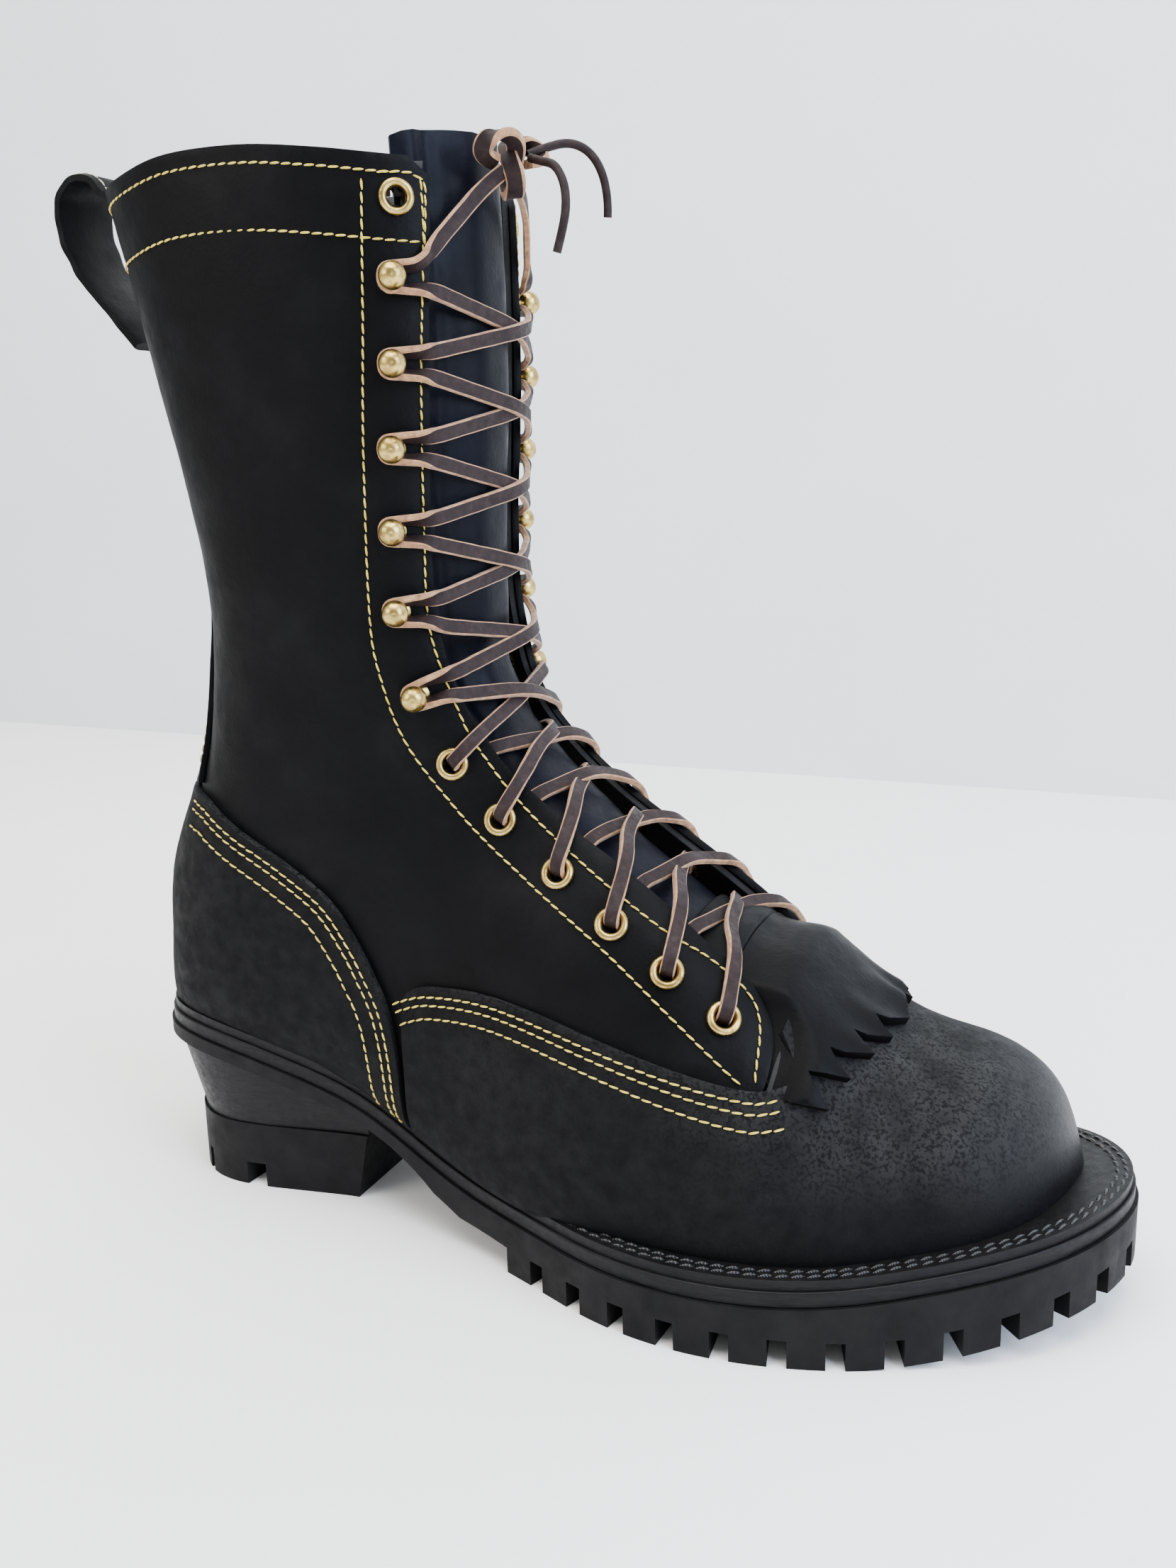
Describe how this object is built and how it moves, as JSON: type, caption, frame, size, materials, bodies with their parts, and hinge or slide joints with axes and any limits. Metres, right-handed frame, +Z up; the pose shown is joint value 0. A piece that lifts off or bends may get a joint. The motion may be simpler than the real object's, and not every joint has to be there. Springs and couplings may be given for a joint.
{
  "type": "lace-up leather work boot",
  "caption": "Right-foot lace-up leather work boot with tongue, fringed false tongue, speed hooks, heel pull loop, stitched welt and lugged slanted heel.",
  "frame": {"origin": "on the ground in the middle of the heel lift's tread", "axes": "+X towards the toe, +Y towards the inner (medial) side of the right foot, +Z up"},
  "size_m": [0.3353, 0.1165, 0.3251],
  "materials": {
    "smooth_leather": "waxed smooth grain, soft sheen",
    "lining_leather": "undyed flesh side, matte",
    "rough_leather": "rough side out, mottled and matte",
    "brass": "antiqued, burnished on the high spots",
    "tread_rubber": "moulded, matte",
    "edge_leather": "ground and inked edge, slight gloss",
    "lace_leather": "waxed thong, dark grain and tan edges",
    "shank_steel": "plain",
    "cork": "granular, matte"
  },
  "bodies": {
    "boot": {"quarter_lateral": "smooth_leather", "quarter_medial": "smooth_leather", "backstay": "smooth_leather", "collar_band": "smooth_leather", "gusset_lateral": "smooth_leather", "gusset_medial": "smooth_leather", "pull_loop": "smooth_leather", "kiltie_root": "smooth_leather", "eyestay_lateral": "lining_leather", "eyestay_medial": "lining_leather", "vamp_lining": "lining_leather", "toe_puff": "lining_leather", "heel_counter": "lining_leather", "insole": "lining_leather", "vamp": "rough_leather", "counter_cover": "rough_leather", "eyelets_lateral": "brass", "eyelets_medial": "brass", "hooks_lateral": "brass", "hooks_medial": "brass", "outsole": "tread_rubber", "heel_lift": "tread_rubber", "welt": "edge_leather", "midsole": "edge_leather", "heel_block": "edge_leather", "lace": "lace_leather", "lace_knot": "lace_leather", "lace_tail_front": "lace_leather", "lace_tail_back": "lace_leather", "shank": "shank_steel", "heel_screws": "shank_steel", "cork_filler": "cork"},
    "tongue": {"tongue": "smooth_leather"},
    "kiltie": {"kiltie_fringe": "smooth_leather"}
  },
  "joints": [
    {"name": "tongue_tilt", "type": "hinge", "parent": "boot", "child": "tongue", "pos_m": [0.1695, 0, 0.083], "axis": [0, 1, 0], "range_deg": [-7, 0]},
    {"name": "kiltie_lift", "type": "hinge", "parent": "boot", "child": "kiltie", "pos_m": [0.174, 0, 0.096], "axis": [0, 1, 0], "range_deg": [-40, 0]}
  ]
}
